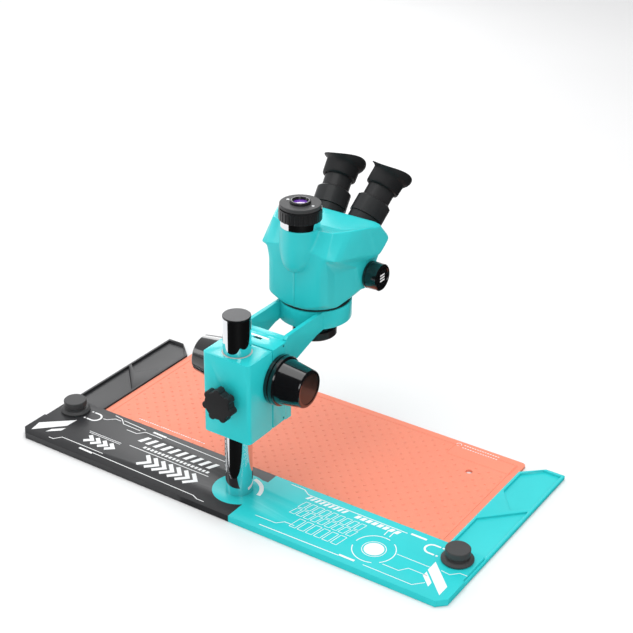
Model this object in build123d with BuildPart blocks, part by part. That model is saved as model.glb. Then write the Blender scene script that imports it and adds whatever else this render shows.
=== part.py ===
from build123d import *
import math
import os

# Trinocular stereo microscope on a column stand with a two-tone work base.
#
# Frame: the column's axis is Z and its foot is the origin, on the table. The user sits on
# the -Y side, +X is the user's right. All lengths are in millimetres.

# ---------------------------------------------------------------- driving dimensions
# work base
base_half = 300.0
bar_back = 51.0
bar_front = -46.5
bar_height = 8.0
bar_corner = 10.0
tray_height = 5.0
tray_inner = 250.5
tray_tail = 5.0
tray_front = -245.0
tray_rim = 3.5
tray_floor = 2.0
bar_inset = 2.5
mat_half = 250.0
mat_back = -38.0
mat_front = -244.5
mat_thick = 3.0
mat_hole = (-200.0, -191.0)

# column
column_r = 16.0
column_wall = 4.0
column_top = 236.4
foot_r = 25.0
foot_thick = 3.0

# magnetic hold-down knobs
magnet_x = 275.0
magnet_y = -25.0
magnet_r = 18.4
magnet_cap_r = 14.2
magnet_height = 15.5

# focusing block
block_half = 32.0
block_low = 90.0
block_high = 190.7
clamp_back = 22.5
clamp_front = -21.5
housing_back = -24.0
housing_front = -49.6
bush_r = 17.3
running = 0.05

# focusing drive
drive_y = -33.0
drive_z = 150.6
gear_module = 0.75
pinion_teeth = 16
pinion_pitch_r = gear_module * pinion_teeth / 2
shaft_r = 4.0
rail_half = 13.0
rail_thick = 3.4
neck_half = 8.0
knob_flange_r = 29.4
knob_base_r = 27.0
knob_end_r = 22.2
knob_flange_in = 37.3
knob_flange_out = 43.5
knob_end = 74.6

# star knob that clamps the block to the column
star_z = 139.1
star_back = 29.0
star_front = 40.0
star_r = 20.6
star_lobes = 7

# fork arm
plate_front = -60.0
plate_back = -49.9
ring_y = -155.5
ring_r = 43.9
mount_r = 38.0
ring_low = 173.0
ring_high = 195.5
arm_outer = 31.5
arm_thick = 5.0

# microscope head
head_low = 198.2
spigot_r = 37.95
barrel_r = 24.5
collar_r = 26.7
collar_low = 147.6
collar_high = 157.5
zoom_y = -190.0
zoom_z = 225.0
zoom_r = 16.8
zoom_in = 52.8
zoom_out = 71.6
boss_wide = 52.3

# camera port
port_y = -123.0
port_low = 299.0
port_band_r = 23.0
port_ring_low = 307.7
port_ring_high = 321.0
port_ring_r = 25.1
port_cap_r = 24.0
port_top = 326.3
port_lens_r = 12.2

# eyepieces: each axis leaves the sloping face at this point, and leans out a little
eye_x = 24.8
eye_y = -216.0
eye_z = 272.5
eye_tilt = 45.0
eye_spread = 6.5
swing_arm = 14.0
swing_limit = 16.0
turret_r = 19.8
stem_r = 16.9
diopter_r = 21.2
ocular_r = 16.8
cup_r = 20.4

os.makedirs("parts", exist_ok=True)


def finish(builder, name):
    """Label one finished piece and write it to its own file."""
    builder.part.label = name
    export_step(builder.part, f"parts/{name}.step")


# ---------------------------------------------------------------- work base
# Back bar: a flat painted bar with chamfered back corners. Its underside is relieved for
# the trays at both ends, for the mat along the front, and for the column's foot.
with BuildPart() as base_bar:
    with BuildSketch(Plane.XY):
        with Locations((0, (bar_back + bar_front) / 2)):
            Rectangle(2 * base_half, bar_back - bar_front)
        corners = vertices().group_by(Axis.Y)[-1]
        chamfer(corners, length=bar_corner)
    extrude(amount=bar_height)
    tail_length = tray_tail - bar_front
    tail_width = base_half - tray_inner + 0.5
    for side in (-1, 1):
        with Locations((side * (tray_inner - 0.5 + tail_width / 2), bar_front + tail_length / 2, 0)):
            Box(tail_width, tail_length, 2 * (tray_height + 0.1), mode=Mode.SUBTRACT)
        with Locations((side * base_half, bar_front + tail_length / 2, bar_height)):
            Box(2 * bar_inset, tail_length, 2 * bar_height, mode=Mode.SUBTRACT)
    with Locations((0, (bar_front + mat_back) / 2 + 0.25, 0)):
        Box(2 * tray_inner, mat_back - bar_front + 0.5, 2 * (mat_thick + 0.2), mode=Mode.SUBTRACT)
    with Locations((0, 0, bar_height / 2)):
        Cylinder(column_r, bar_height, mode=Mode.SUBTRACT)
    with Locations((0, 0, foot_thick / 2)):
        Cylinder(foot_r, foot_thick, mode=Mode.SUBTRACT)
    with PolarLocations(20.5, 3, start_angle=90):
        with Locations((0, 0, 4.5)):
            Cylinder(1.5, 3.0, mode=Mode.SUBTRACT)
    screw_spots = [(s * x, y) for s in (-1, 1) for x, y in ((256.5, -2.0), (293.0, -2.0))]
    with Locations(*[(x, y, tray_height + 0.75) for x, y in screw_spots]):
        Cylinder(1.5, 2.5, mode=Mode.SUBTRACT)
finish(base_bar, "base_bar")


def tray_outline(inset):
    """Corners of a tray's outline seen from above, moved in from the edge by inset."""
    inner = tray_inner + inset
    outer = base_half - inset
    nose = tray_front + inset
    slope = 24.5
    return [
        (inner, tray_tail - inset), (outer, tray_tail - inset), (outer, nose),
        (outer - slope + 0.41 * inset, nose), (inner, nose + slope - 1.5 - 0.41 * inset),
    ]


# Trays: one at each end of the bar, open recesses with a raised lozenge between them.
for side, name in ((-1, "tray_left"), (1, "tray_right")):
    with BuildPart() as tray:
        with BuildSketch(Plane.XY):
            with BuildLine():
                Polyline(*[(side * x, y) for x, y in tray_outline(0)], close=True)
            make_face()
        extrude(amount=tray_height)
        with BuildSketch(Plane.XY.offset(tray_floor)):
            with BuildLine():
                recess = [(x, min(y, bar_front - 1.0)) for x, y in tray_outline(tray_rim)]
                Polyline(*[(side * x, y) for x, y in recess], close=True)
            make_face()
            with BuildLine():
                Polyline(*[(side * x, y) for x, y in (
                    (tray_inner, -106.0), (base_half, -157.5), (base_half, -163.0),
                    (278.4, -143.9), (tray_inner, -181.0),
                )], close=True)
            make_face(mode=Mode.SUBTRACT)
        extrude(amount=tray_height, mode=Mode.SUBTRACT)
        with Locations(*[(x, y, 0) for x, y in screw_spots if x * side > 0]):
            Cylinder(1.5, 2 * tray_height, mode=Mode.SUBTRACT)
        with Locations(*[(x, y, 0.1) for x, y in screw_spots if x * side > 0]):
            Cone(4.45, 1.4, 4.2, mode=Mode.SUBTRACT)
    finish(tray, name)

# Work mat: a soft sheet between the trays, its back edge tucked under the bar.
with BuildPart() as work_mat:
    with BuildSketch(Plane.XY):
        with Locations((0, (mat_back + mat_front) / 2)):
            Rectangle(2 * mat_half, mat_back - mat_front)
        fillet(vertices().group_by(Axis.Y)[0], radius=6.0)
        with Locations(mat_hole):
            Circle(4.3, mode=Mode.SUBTRACT)
    extrude(amount=mat_thick)
finish(work_mat, "work_mat")

# Countersunk screws that hold the trays to the bar, driven from below.
with BuildPart() as tray_screws:
    with Locations(*[(x, y, 3.4) for x, y in screw_spots]):
        Cylinder(1.45, 6.0)
    with Locations(*[(x, y, 1.3) for x, y in screw_spots]):
        Cone(2.7, 1.2, 1.8)
        with Locations((0, 0, -0.6)):
            Box(3.0, 0.6, 0.8, mode=Mode.SUBTRACT)
finish(tray_screws, "tray_screws")

# ---------------------------------------------------------------- column
# Chromed tube that stands through the bar.
with BuildPart() as column:
    with BuildSketch(Plane.XY.offset(foot_thick)):
        Circle(column_r)
        Circle(column_r - column_wall, mode=Mode.SUBTRACT)
    extrude(amount=column_top - 2.0 - foot_thick)
finish(column, "column")

# Ground end plug that closes the tube.
with BuildPart() as column_cap:
    with BuildSketch(Plane.XY.offset(column_top - 2.0)):
        Circle(column_r)
    extrude(amount=2.0)
    chamfer(column_cap.edges().group_by(Axis.Z)[-1], length=0.4)
    with BuildSketch(Plane.XY.offset(column_top - 14.0)):
        Circle(column_r - column_wall)
    extrude(amount=12.0)
finish(column_cap, "column_cap")

# Steel foot under the bar, with a spigot inside the tube.
with BuildPart() as column_foot:
    with BuildSketch(Plane.XY):
        Circle(foot_r - 0.2)
    extrude(amount=foot_thick)
    with BuildSketch(Plane.XY.offset(foot_thick)):
        Circle(column_r - column_wall)
    extrude(amount=14.0)
    with PolarLocations(20.5, 3, start_angle=90):
        Cylinder(1.5, 2 * foot_thick, mode=Mode.SUBTRACT)
        with Locations((0, 0, 0.1)):
            Cone(4.45, 1.4, 4.2, mode=Mode.SUBTRACT)
finish(column_foot, "column_foot")

# Three countersunk screws that hold the foot to the bar.
with BuildPart() as foot_screws:
    with PolarLocations(20.5, 3, start_angle=90):
        with Locations((0, 0, 3.2)):
            Cylinder(1.45, 5.6)
        with Locations((0, 0, 1.3)):
            Cone(2.6, 1.3, 1.8)
            with Locations((0, 0, -0.6)):
                Box(3.0, 0.6, 0.8, mode=Mode.SUBTRACT)
finish(foot_screws, "foot_screws")

# ---------------------------------------------------------------- magnetic hold-downs
# Turned knobs that grip the plate from above, each with a magnet let into its underside.
for side, name in ((-1, "left"), (1, "right")):
    spot = Plane(origin=(side * magnet_x, magnet_y, bar_height))
    with BuildPart() as hold_down:
        with BuildSketch(Plane.XZ.offset(-magnet_y)):
            with BuildLine():
                centre_x = side * magnet_x
                outline = [
                    (0.0, 0.0), (magnet_r - 1.0, 0.0), (magnet_r, 1.0), (magnet_r, 2.4),
                    (magnet_r - 2.6, 4.6), (12.6, 4.8), (12.2, 6.0), (12.6, 7.4),
                    (magnet_cap_r, 8.6), (magnet_cap_r, magnet_height - 0.8),
                    (magnet_cap_r - 0.8, magnet_height), (0.0, magnet_height),
                ]
                Polyline(*[(centre_x + r, bar_height + h) for r, h in outline], close=True)
            make_face()
        revolve(axis=Axis((centre_x, magnet_y, 0), (0, 0, 1)))
        with BuildSketch(spot):
            Circle(11.0)
        extrude(amount=3.0, mode=Mode.SUBTRACT)
    finish(hold_down, f"hold_down_{name}")
    with BuildPart() as magnet:
        with BuildSketch(spot):
            Circle(11.0)
        extrude(amount=3.0)
    finish(magnet, f"hold_down_magnet_{name}")

# ---------------------------------------------------------------- focusing block
# Liner between the column and the block: it slides on the column and turns in the block.
with BuildPart() as column_bush:
    with BuildSketch(Plane.XY.offset(block_low + 0.3)):
        Circle(bush_r)
        Circle(column_r + running, mode=Mode.SUBTRACT)
    extrude(amount=block_high - block_low - 0.6)
finish(column_bush, "column_bush")

# Rear casting, bored for the column, tapped for the clamp stud.
with BuildPart() as clamp_block:
    with BuildSketch(Plane.XY.offset(block_low)):
        with Locations((0, (clamp_back + clamp_front) / 2)):
            Rectangle(2 * block_half, clamp_back - clamp_front)
        fillet(vertices().group_by(Axis.Y)[-1], radius=5.0)
        Circle(bush_r + running, mode=Mode.SUBTRACT)
    extrude(amount=block_high - block_low)
    with BuildSketch(Plane.XZ.offset(-clamp_front)):
        with Locations((0, (block_low + block_high) / 2)):
            Rectangle(2 * block_half - 5.0, block_high - block_low - 5.0)
    extrude(amount=clamp_front - housing_back)
    with BuildSketch(Plane.XZ.offset(-clamp_back - 1.0)):
        with Locations((0, star_z)):
            Circle(shaft_r + running)
    extrude(amount=clamp_back - 9.0, mode=Mode.SUBTRACT)
finish(clamp_block, "clamp_block")

# Front casting: a T-slot for the focusing slide, and a cross bore for the drive shaft.
rail_back = drive_y - pinion_pitch_r - 2.1
rail_front = rail_back - rail_thick
gib_spots = [(side, z) for side in (-1, 1) for z in (block_low + 3.6, block_high - 3.6)]
with BuildPart() as focus_housing:
    with BuildSketch(Plane.XY.offset(block_low)):
        with Locations((0, (housing_back + housing_front) / 2)):
            Rectangle(2 * block_half, housing_back - housing_front)
        with Locations((0, (rail_back + rail_front) / 2)):
            Rectangle(2 * (rail_half + running), rail_thick + 2 * running, mode=Mode.SUBTRACT)
        with Locations((0, housing_front)):
            Rectangle(2 * (neck_half + running), 2 * (rail_front - housing_front), mode=Mode.SUBTRACT)
        with Locations((0, rail_back + 2.2)):
            Rectangle(11.0, 4.5, mode=Mode.SUBTRACT)
    extrude(amount=block_high - block_low)
    with Locations((0, drive_y, drive_z)):
        Box(13.0, 15.0, 17.0, mode=Mode.SUBTRACT)
        Cylinder(6.0, 2 * block_half, rotation=(0, 90, 0), mode=Mode.SUBTRACT)
    with Locations(*[(side * (block_half - 2.5), -44.4, z) for side, z in gib_spots]):
        Cylinder(1.5, 6.0, rotation=(0, 90, 0), mode=Mode.SUBTRACT)
finish(focus_housing, "focus_housing")

# Grub screws that take up the play of the slide.
with BuildPart() as gib_screws:
    with Locations(*[(side * (block_half - 3.1), -44.4, z) for side, z in gib_spots]):
        Cylinder(1.45, 4.6, rotation=(0, 90, 0))
    with Locations(*[(side * (block_half - 1.0), -44.4, z) for side, z in gib_spots]):
        Cylinder(0.7, 2.0, rotation=(0, 90, 0), mode=Mode.SUBTRACT)
finish(gib_screws, "gib_screws")

# Brass bearings of the drive shaft, one in each side of the housing.
with BuildPart() as shaft_bearings:
    for side in (-1, 1):
        with BuildSketch(Plane.YZ.offset(side * block_half)):
            with Locations((drive_y, drive_z)):
                Circle(6.0)
                Circle(shaft_r + running, mode=Mode.SUBTRACT)
        extrude(amount=-side * 24.0)
finish(shaft_bearings, "shaft_bearings")

# Friction rings that stand on the block's sides behind the focusing knobs.
with BuildPart() as friction_rings:
    for side in (-1, 1):
        with BuildSketch(Plane.YZ.offset(side * block_half)):
            with Locations((drive_y, drive_z)):
                Circle(knob_flange_r + 0.2)
                Circle(6.4, mode=Mode.SUBTRACT)
        extrude(amount=side * (knob_flange_in - block_half - 0.3))
    chamfer(friction_rings.edges().filter_by(GeomType.CIRCLE).sort_by(SortBy.RADIUS)[-4:], length=0.6)
finish(friction_rings, "friction_rings")

# ---------------------------------------------------------------- column clamp
# Lobed hand knob: scallops between rounded lobes, with a boss behind.
with BuildPart() as star_knob:
    with BuildSketch(Plane.XZ.offset(-star_back)):
        with Locations((0, star_z)):
            Circle(star_r - 3.6)
            with PolarLocations(star_r - 4.6, star_lobes, start_angle=90):
                Circle(4.6)
            with PolarLocations(star_r + 1.3, star_lobes, start_angle=90 + 180 / star_lobes):
                Circle(4.4, mode=Mode.SUBTRACT)
    extrude(amount=star_back - star_front)
    fillet(star_knob.faces().sort_by(Axis.Y)[-1].outer_wire().edges(), radius=1.2)
    with BuildSketch(Plane.XZ.offset(-clamp_back - 0.4)):
        with Locations((0, star_z)):
            Circle(9.0)
    extrude(amount=clamp_back + 0.4 - star_back)
    with BuildSketch(Plane.XZ.offset(-clamp_back)):
        with Locations((0, star_z)):
            Circle(shaft_r)
    extrude(amount=clamp_back - star_front + 3.0, mode=Mode.SUBTRACT)
finish(star_knob, "star_knob")

# Threaded stud moulded into the hand knob; its tip bears on the liner.
with BuildPart() as clamp_stud:
    with BuildSketch(Plane.XZ.offset(-bush_r - 0.4)):
        with Locations((0, star_z)):
            Circle(shaft_r)
    extrude(amount=bush_r + 0.4 - star_front + 3.0)
finish(clamp_stud, "clamp_stud")

# ---------------------------------------------------------------- focusing drive
# Steel shaft through the housing, with a knob at each end.
with BuildPart() as drive_shaft:
    with BuildSketch(Plane.YZ.offset(-knob_end + 4.0)):
        with Locations((drive_y, drive_z)):
            Circle(shaft_r)
    extrude(amount=2 * (knob_end - 4.0))
finish(drive_shaft, "drive_shaft")


def involute_points(base_r, tip_r, turn, steps=5):
    """Points up one involute flank: at radius r the flank has unrolled by its involute angle."""
    points = []
    for i in range(steps + 1):
        r = base_r + (tip_r - base_r) * i / steps
        unroll = math.sqrt(max((r / base_r) ** 2 - 1, 0))
        angle = turn + unroll - math.atan(unroll)
        points.append((r * math.cos(angle), r * math.sin(angle)))
    return points


# Brass pinion with involute teeth, cut thin by a little backlash.
pressure = math.radians(20)
tip_r = pinion_pitch_r + gear_module
root_r = pinion_pitch_r - 1.25 * gear_module
base_circle_r = pinion_pitch_r * math.cos(pressure)
tooth_share = 0.92
half_tooth = tooth_share * math.pi / (2 * pinion_teeth) + math.tan(pressure) - pressure
with BuildPart() as pinion:
    with BuildSketch(Plane.YZ.offset(-4.5)):
        with Locations((drive_y, drive_z)):
            Circle(root_r)
            with BuildLine(mode=Mode.PRIVATE) as tooth:
                lower = involute_points(base_circle_r, tip_r, -half_tooth)
                upper = [(x, -y) for x, y in reversed(lower)]
                foot = (root_r - 0.4) * math.cos(half_tooth)
                Polyline((foot, lower[0][1]), *lower, *upper, (foot, upper[-1][1]), close=True)
            with PolarLocations(0, pinion_teeth, start_angle=180):
                add(make_face(tooth.edges(), mode=Mode.PRIVATE))
            Circle(shaft_r, mode=Mode.SUBTRACT)
    extrude(amount=9.0)
finish(pinion, "pinion")

# Focusing knobs: a wide flange, a tapered grip with a rounded end, and a shallow recess.
for side, name in ((-1, "left"), (1, "right")):
    with BuildPart() as focus_knob:
        with BuildSketch(Plane.XY.offset(drive_z)):
            with BuildLine():
                profile = [
                    (knob_flange_in, shaft_r), (knob_flange_in, knob_flange_r - 0.8),
                    (knob_flange_in + 0.8, knob_flange_r), (knob_flange_out - 1.2, knob_flange_r),
                    (knob_flange_out, knob_flange_r - 1.0), (knob_flange_out, knob_base_r),
                    (knob_end - 1.6, knob_end_r + 0.2), (knob_end - 0.5, knob_end_r - 0.6),
                    (knob_end, knob_end_r - 1.8), (knob_end, 18.2), (knob_end - 1.6, 18.2),
                    (knob_end - 1.6, 12.0), (knob_end - 4.0, 12.0), (knob_end - 4.0, shaft_r),
                ]
                Polyline(*[(side * x, drive_y + r) for x, r in profile], close=True)
            make_face()
        revolve(axis=Axis((0, drive_y, drive_z), (1, 0, 0)))
    finish(focus_knob, f"focus_knob_{name}")
    with BuildPart() as knob_badge:
        with BuildSketch(Plane.YZ.offset(side * (knob_end - 1.6))):
            with Locations((drive_y, drive_z)):
                Circle(18.1)
        extrude(amount=side * 0.9)
        with BuildSketch(Plane.YZ.offset(side * (knob_end - 4.0))):
            with Locations((drive_y, drive_z)):
                Circle(11.9)
        extrude(amount=side * 2.4)
    finish(knob_badge, f"knob_badge_{name}")

# ---------------------------------------------------------------- fork arm and slide
# One casting: an upright plate with a tongue into the housing, two arms and the head ring.
with BuildPart() as fork_arm:
    with BuildSketch(Plane.XY.offset(block_low - 2.0)):
        with Locations((0, (plate_back + plate_front) / 2)):
            Rectangle(2 * arm_outer, plate_back - plate_front)
        with Locations((0, (plate_back + rail_front) / 2)):
            Rectangle(2 * neck_half, rail_front - plate_back)
    extrude(amount=block_high - block_low + 2.0)
    for side in (-1, 1):
        with BuildSketch(Plane.YZ.offset(side * arm_outer)):
            with BuildLine():
                Polyline(
                    (plate_back, 150.0), (plate_back, ring_high - 3.0), (plate_back - 4.0, ring_high),
                    (ring_y + 26.0, ring_high), (ring_y + 26.0, ring_low),
                    (-112.0, 171.0), (-72.0, 159.0), close=True,
                )
            make_face()
        extrude(amount=-side * arm_thick)
    with BuildSketch(Plane.XY.offset(ring_low)):
        with Locations((0, ring_y)):
            Circle(ring_r)
    extrude(amount=ring_high - ring_low)
    with Locations((0, ring_y, (ring_low + ring_high) / 2)):
        Cylinder(mount_r, 40.0, mode=Mode.SUBTRACT)
    with Locations((0, ring_y - ring_r + 3.0, 184.0)):
        Cylinder(3.05, 12.0, rotation=(90, 0, 0), mode=Mode.SUBTRACT)
    with Locations(*[(0, plate_front + 2.0, z) for z in (105.0, 139.0, 173.0)]):
        Cylinder(3.7, 4.2, rotation=(90, 0, 0), mode=Mode.SUBTRACT)
    with Locations(*[(0, plate_front + 9.0, z) for z in (105.0, 139.0, 173.0)]):
        Cylinder(2.0, 18.0, rotation=(90, 0, 0), mode=Mode.SUBTRACT)
finish(fork_arm, "fork_arm")

# Ground steel slide bar, screwed to the tongue; its end shows in the top of the housing.
with BuildPart() as slide_rail:
    with BuildSketch(Plane.XY.offset(block_low - 1.0)):
        with Locations((0, (rail_back + rail_front) / 2)):
            Rectangle(2 * rail_half, rail_thick)
    extrude(amount=block_high - block_low + 1.0)
    with Locations(*[(0, rail_front, z) for z in (105.0, 139.0, 173.0)]):
        Cylinder(2.0, 5.0, rotation=(90, 0, 0), mode=Mode.SUBTRACT)
finish(slide_rail, "slide_rail")

# Socket screws through the plate into the slide bar.
with BuildPart() as slide_screws:
    for z in (105.0, 139.0, 173.0):
        with Locations((0, plate_front + 2.1, z)):
            Cylinder(3.5, 3.6, rotation=(90, 0, 0))
        with Locations((0, (plate_front + 3.8 + rail_front + 2.3) / 2, z)):
            Cylinder(1.95, rail_front + 2.3 - plate_front - 3.8, rotation=(90, 0, 0))
        with Locations((0, plate_front + 1.0, z)):
            Cylinder(1.6, 2.4, rotation=(90, 0, 0), mode=Mode.SUBTRACT)
finish(slide_screws, "slide_screws")

# Brass rack on the slide bar; a tooth space faces the pinion's axis at rest.
pitch = math.pi * gear_module
rack_pitch_y = drive_y - pinion_pitch_r
rack_root_y = rack_pitch_y - 1.25 * gear_module
rack_tip_y = rack_pitch_y + gear_module
rack_half_count = 14
with BuildPart() as focus_rack:
    with BuildSketch(Plane.YZ.offset(-5.0)):
        with BuildLine():
            flank = math.tan(pressure)
            points = [(rail_back, drive_z - rack_half_count * pitch)]
            for i in range(-rack_half_count, rack_half_count):
                centre = drive_z + (i + 0.5) * pitch
                half = tooth_share * pitch / 4
                root_half = half + flank * 1.25 * gear_module
                tip_half = half - flank * gear_module
                points += [(rack_root_y, centre - root_half), (rack_tip_y, centre - tip_half)]
                points += [(rack_tip_y, centre + tip_half), (rack_root_y, centre + root_half)]
            points.append((rail_back, drive_z + rack_half_count * pitch))
            Polyline(*points, close=True)
        make_face()
    extrude(amount=10.0)
finish(focus_rack, "focus_rack")

# Thumb screw that locks the head in the ring.
with BuildPart() as head_lock:
    lock_y = ring_y - ring_r
    with Locations((0, lock_y + 2.4, 184.0)):
        Cylinder(3.0, 6.0, rotation=(90, 0, 0))
    with BuildSketch(Plane.XZ.offset(-lock_y + 0.6)):
        with Locations((0, 184.0)):
            Circle(7.0)
            with PolarLocations(7.3, 18):
                Circle(0.55, mode=Mode.SUBTRACT)
    extrude(amount=10.0)
finish(head_lock, "head_lock")

# ---------------------------------------------------------------- microscope head
# Black seat between ring and head, with the spigot that turns in the ring.
with BuildPart() as head_spigot:
    with BuildSketch(Plane.XY.offset(ring_low + 4.0)):
        with Locations((0, ring_y)):
            Circle(spigot_r)
    extrude(amount=ring_high + 0.3 - ring_low - 4.0)
    with BuildSketch(Plane.XY.offset(ring_high + 0.3)):
        with Locations((0, ring_y)):
            Circle(42.6)
    extrude(amount=head_low - ring_high - 0.3)
    with Locations((0, ring_y, 190.0)):
        Cylinder(32.0, 40.0, mode=Mode.SUBTRACT)
finish(head_spigot, "head_spigot")

# Chassis plate that closes the spigot and carries the optics.
with BuildPart() as optics_plate:
    with BuildSketch(Plane.XY.offset(head_low - 4.0)):
        with Locations((0, ring_y)):
            Circle(32.0)
            with Locations((-11.0, 0), (11.0, 0)):
                Circle(9.0, mode=Mode.SUBTRACT)
    extrude(amount=4.0)
finish(optics_plate, "optics_plate")

# Objective barrel below the ring, and the black collar that takes a ring light.
with BuildPart() as objective_barrel:
    with BuildSketch(Plane.XY.offset(collar_high)):
        with Locations((0, ring_y)):
            Circle(barrel_r)
            Circle(barrel_r - 2.5, mode=Mode.SUBTRACT)
    extrude(amount=head_low - 4.0 - collar_high)
finish(objective_barrel, "objective_barrel")

with BuildPart() as objective_collar:
    with BuildSketch(Plane.XY.offset(collar_low)):
        with Locations((0, ring_y)):
            Circle(collar_r)
    extrude(amount=collar_high - collar_low)
    chamfer(objective_collar.edges().group_by(Axis.Z)[0], length=0.8)
    with Locations((0, ring_y, collar_low + 1.5)):
        Cylinder(24.0, 3.0, mode=Mode.SUBTRACT)
    with Locations((0, ring_y, collar_high - 3.5)):
        Cylinder(22.0, 8.0, mode=Mode.SUBTRACT)
finish(objective_collar, "objective_collar")

with BuildPart() as objective_lens:
    with BuildSketch(Plane.XY.offset(collar_low + 3.0)):
        with Locations((0, ring_y)):
            Circle(22.0)
    extrude(amount=6.0)
finish(objective_lens, "objective_lens")

# Two optical tubes above the plate, one for each eye.
with BuildPart() as optic_tubes:
    with BuildSketch(Plane.XY.offset(head_low)):
        with Locations((-11.0, ring_y), (11.0, ring_y)):
            Circle(10.4)
            Circle(8.8, mode=Mode.SUBTRACT)
    extrude(amount=36.0)
finish(optic_tubes, "optic_tubes")

# Prism block on top of the tubes.
with BuildPart() as prism_block:
    with Locations((0, ring_y, head_low + 36.0 + 9.0)):
        Box(44.0, 22.0, 18.0)
    with Locations((0, ring_y - 11.0, head_low + 36.0 + 18.0)):
        Box(46.0, 10.0, 10.0, rotation=(45, 0, 0), mode=Mode.SUBTRACT)
finish(prism_block, "prism_block")

# Head casing: sections across the head at stations of x, each with the same corners in the
# same order, joined by straight-ruled surfaces. The corners run from the bottom at the back,
# up the back, over the top, down the sloping eyepiece face and back along the underside.
casing_sections = {
    0.0: [(-111.6, 198.2), (-111.6, 250.0), (-111.6, 277.0), (-116.0, 295.5), (-160.0, 286.0),
          (-200.0, 288.5), (-238.0, 250.5), (-232.0, 240.0), (-206.0, 228.0), (-199.4, 198.2)],
    24.0: [(-111.6, 198.2), (-111.6, 250.0), (-112.0, 275.0), (-127.0, 294.0), (-160.0, 286.0),
           (-200.0, 288.5), (-236.0, 252.5), (-231.0, 242.0), (-206.0, 228.0), (-192.0, 198.2)],
    37.0: [(-116.0, 206.0), (-113.0, 248.0), (-113.5, 270.5), (-142.0, 286.5), (-165.0, 285.0),
           (-200.0, 288.5), (-232.0, 256.5), (-228.0, 246.0), (-206.0, 230.0), (-184.0, 200.5)],
    50.0: [(-172.0, 211.0), (-160.0, 244.0), (-118.5, 267.0), (-158.0, 284.0), (-180.0, 285.5),
           (-200.0, 288.5), (-227.0, 261.5), (-222.0, 250.0), (-210.0, 235.0), (-192.0, 208.0)],
    57.3: [(-184.0, 219.0), (-180.0, 244.0), (-170.0, 259.0), (-187.0, 281.0), (-193.0, 285.5),
           (-200.0, 288.5), (-222.0, 266.5), (-218.0, 257.0), (-210.0, 243.0), (-196.0, 219.0)],
    62.0: [(-197.0, 255.0), (-196.0, 257.5), (-195.0, 261.0), (-197.0, 280.0), (-198.5, 285.0),
           (-201.0, 287.0), (-217.5, 270.5), (-216.5, 262.0), (-206.0, 256.5), (-199.0, 254.5)],
}


def casing_half(side, shrink, last):
    """One side of the head casing, or of its hollow when the sections are shrunk."""
    with BuildPart() as half:
        for x, corners in casing_sections.items():
            if x > last:
                continue
            mid_y = sum(y for y, z in corners) / len(corners)
            mid_z = sum(z for y, z in corners) / len(corners)
            scaled = [(mid_y + (y - mid_y) * shrink, mid_z + (z - mid_z) * shrink) for y, z in corners]
            with BuildSketch(Plane.YZ.offset(side * x)):
                with BuildLine():
                    Polyline(*scaled, close=True)
                make_face()
        loft(ruled=True)
    return half.part


def eye_plane(side):
    """Plane square to an eyepiece's axis, where the axis leaves the sloping face."""
    tilt = math.radians(eye_tilt)
    spread = math.radians(eye_spread)
    axis = (side * math.sin(spread), -math.cos(spread) * math.sin(tilt), math.cos(spread) * math.cos(tilt))
    return Plane(origin=(side * eye_x, eye_y, eye_z), x_dir=(1, 0, 0), z_dir=axis)


# The sloping face, with its own axes: x to the right and y down the slope.
face_normal = (0, -math.sin(math.radians(45)), math.sin(math.radians(45)))
down_slope = (0, -math.cos(math.radians(45)), -math.cos(math.radians(45)))


def swing_plane(side, lift=0.0):
    """Plane in the sloping face, centred on the pivot of one eyepiece turret."""
    origin = [side * eye_x, eye_y, eye_z]
    for i in (1, 2):
        origin[i] += swing_arm * down_slope[i] + lift * face_normal[i]
    return Plane(origin=tuple(origin), x_dir=(1, 0, 0), z_dir=face_normal)


# Each half of the casing: hollow, with a boss for the camera port, a seat for the zoom knob,
# a curved slot for the eyepiece's neck and a hole for its pivot.
slot_centre = CenterArc((0, 0), swing_arm, 90 - swing_limit - 1, 2 * swing_limit + 2)
for side, name in ((-1, "left"), (1, "right")):
    shell = casing_half(side, 1.0, 62.0)
    hollow = casing_half(side, 0.9, 54.0)
    with BuildPart() as casing:
        add(shell)
        with BuildSketch(Plane.XY.offset(port_low)):
            with Locations((0, port_y)):
                Circle(port_band_r + 0.3)
        with BuildSketch(Plane.XY.offset(286.0)):
            with Locations((0, port_y)):
                Circle(port_band_r + 0.3)
        with BuildSketch(Plane.XY.offset(248.0)):
            with Locations((0, port_y - 1.0)):
                Circle(12.4)
        loft(ruled=True)
        with BuildSketch(Plane.YZ.offset(side * 44.0)):
            with Locations((zoom_y, zoom_z)):
                Circle(15.0)
        extrude(amount=side * (boss_wide - 44.0))
        with Locations((side * (boss_wide + 10.0), zoom_y, zoom_z)):
            Cylinder(zoom_r + 1.0, 20.0, rotation=(0, 90, 0), mode=Mode.SUBTRACT)
        add(hollow, mode=Mode.SUBTRACT)
        with Locations((0, port_y, 280.0)):
            Cylinder(19.0, 60.0, mode=Mode.SUBTRACT)
        with Locations((0, ring_y, head_low)):
            Cylinder(32.0, 30.0, mode=Mode.SUBTRACT)
        with Locations((0, zoom_y, zoom_z)):
            Cylinder(4.0 + running, 200.0, rotation=(0, 90, 0), mode=Mode.SUBTRACT)
        with BuildSketch(swing_plane(side, -12.0)):
            SlotArc(slot_centre, 17.0)
            Circle(2.55)
        extrude(amount=16.0, mode=Mode.SUBTRACT)
        with Locations((-side * 200.0, ring_y, 240.0)):
            Box(400.0, 400.0, 400.0, mode=Mode.SUBTRACT)
    finish(casing, f"head_casing_{name}")

# Zoom shaft across the head with a drum in the middle and a knob at each end.
with BuildPart() as zoom_shaft:
    with Locations((0, zoom_y, zoom_z)):
        Cylinder(4.0, 2 * (zoom_out - 4.0), rotation=(0, 90, 0))
finish(zoom_shaft, "zoom_shaft")

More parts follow.
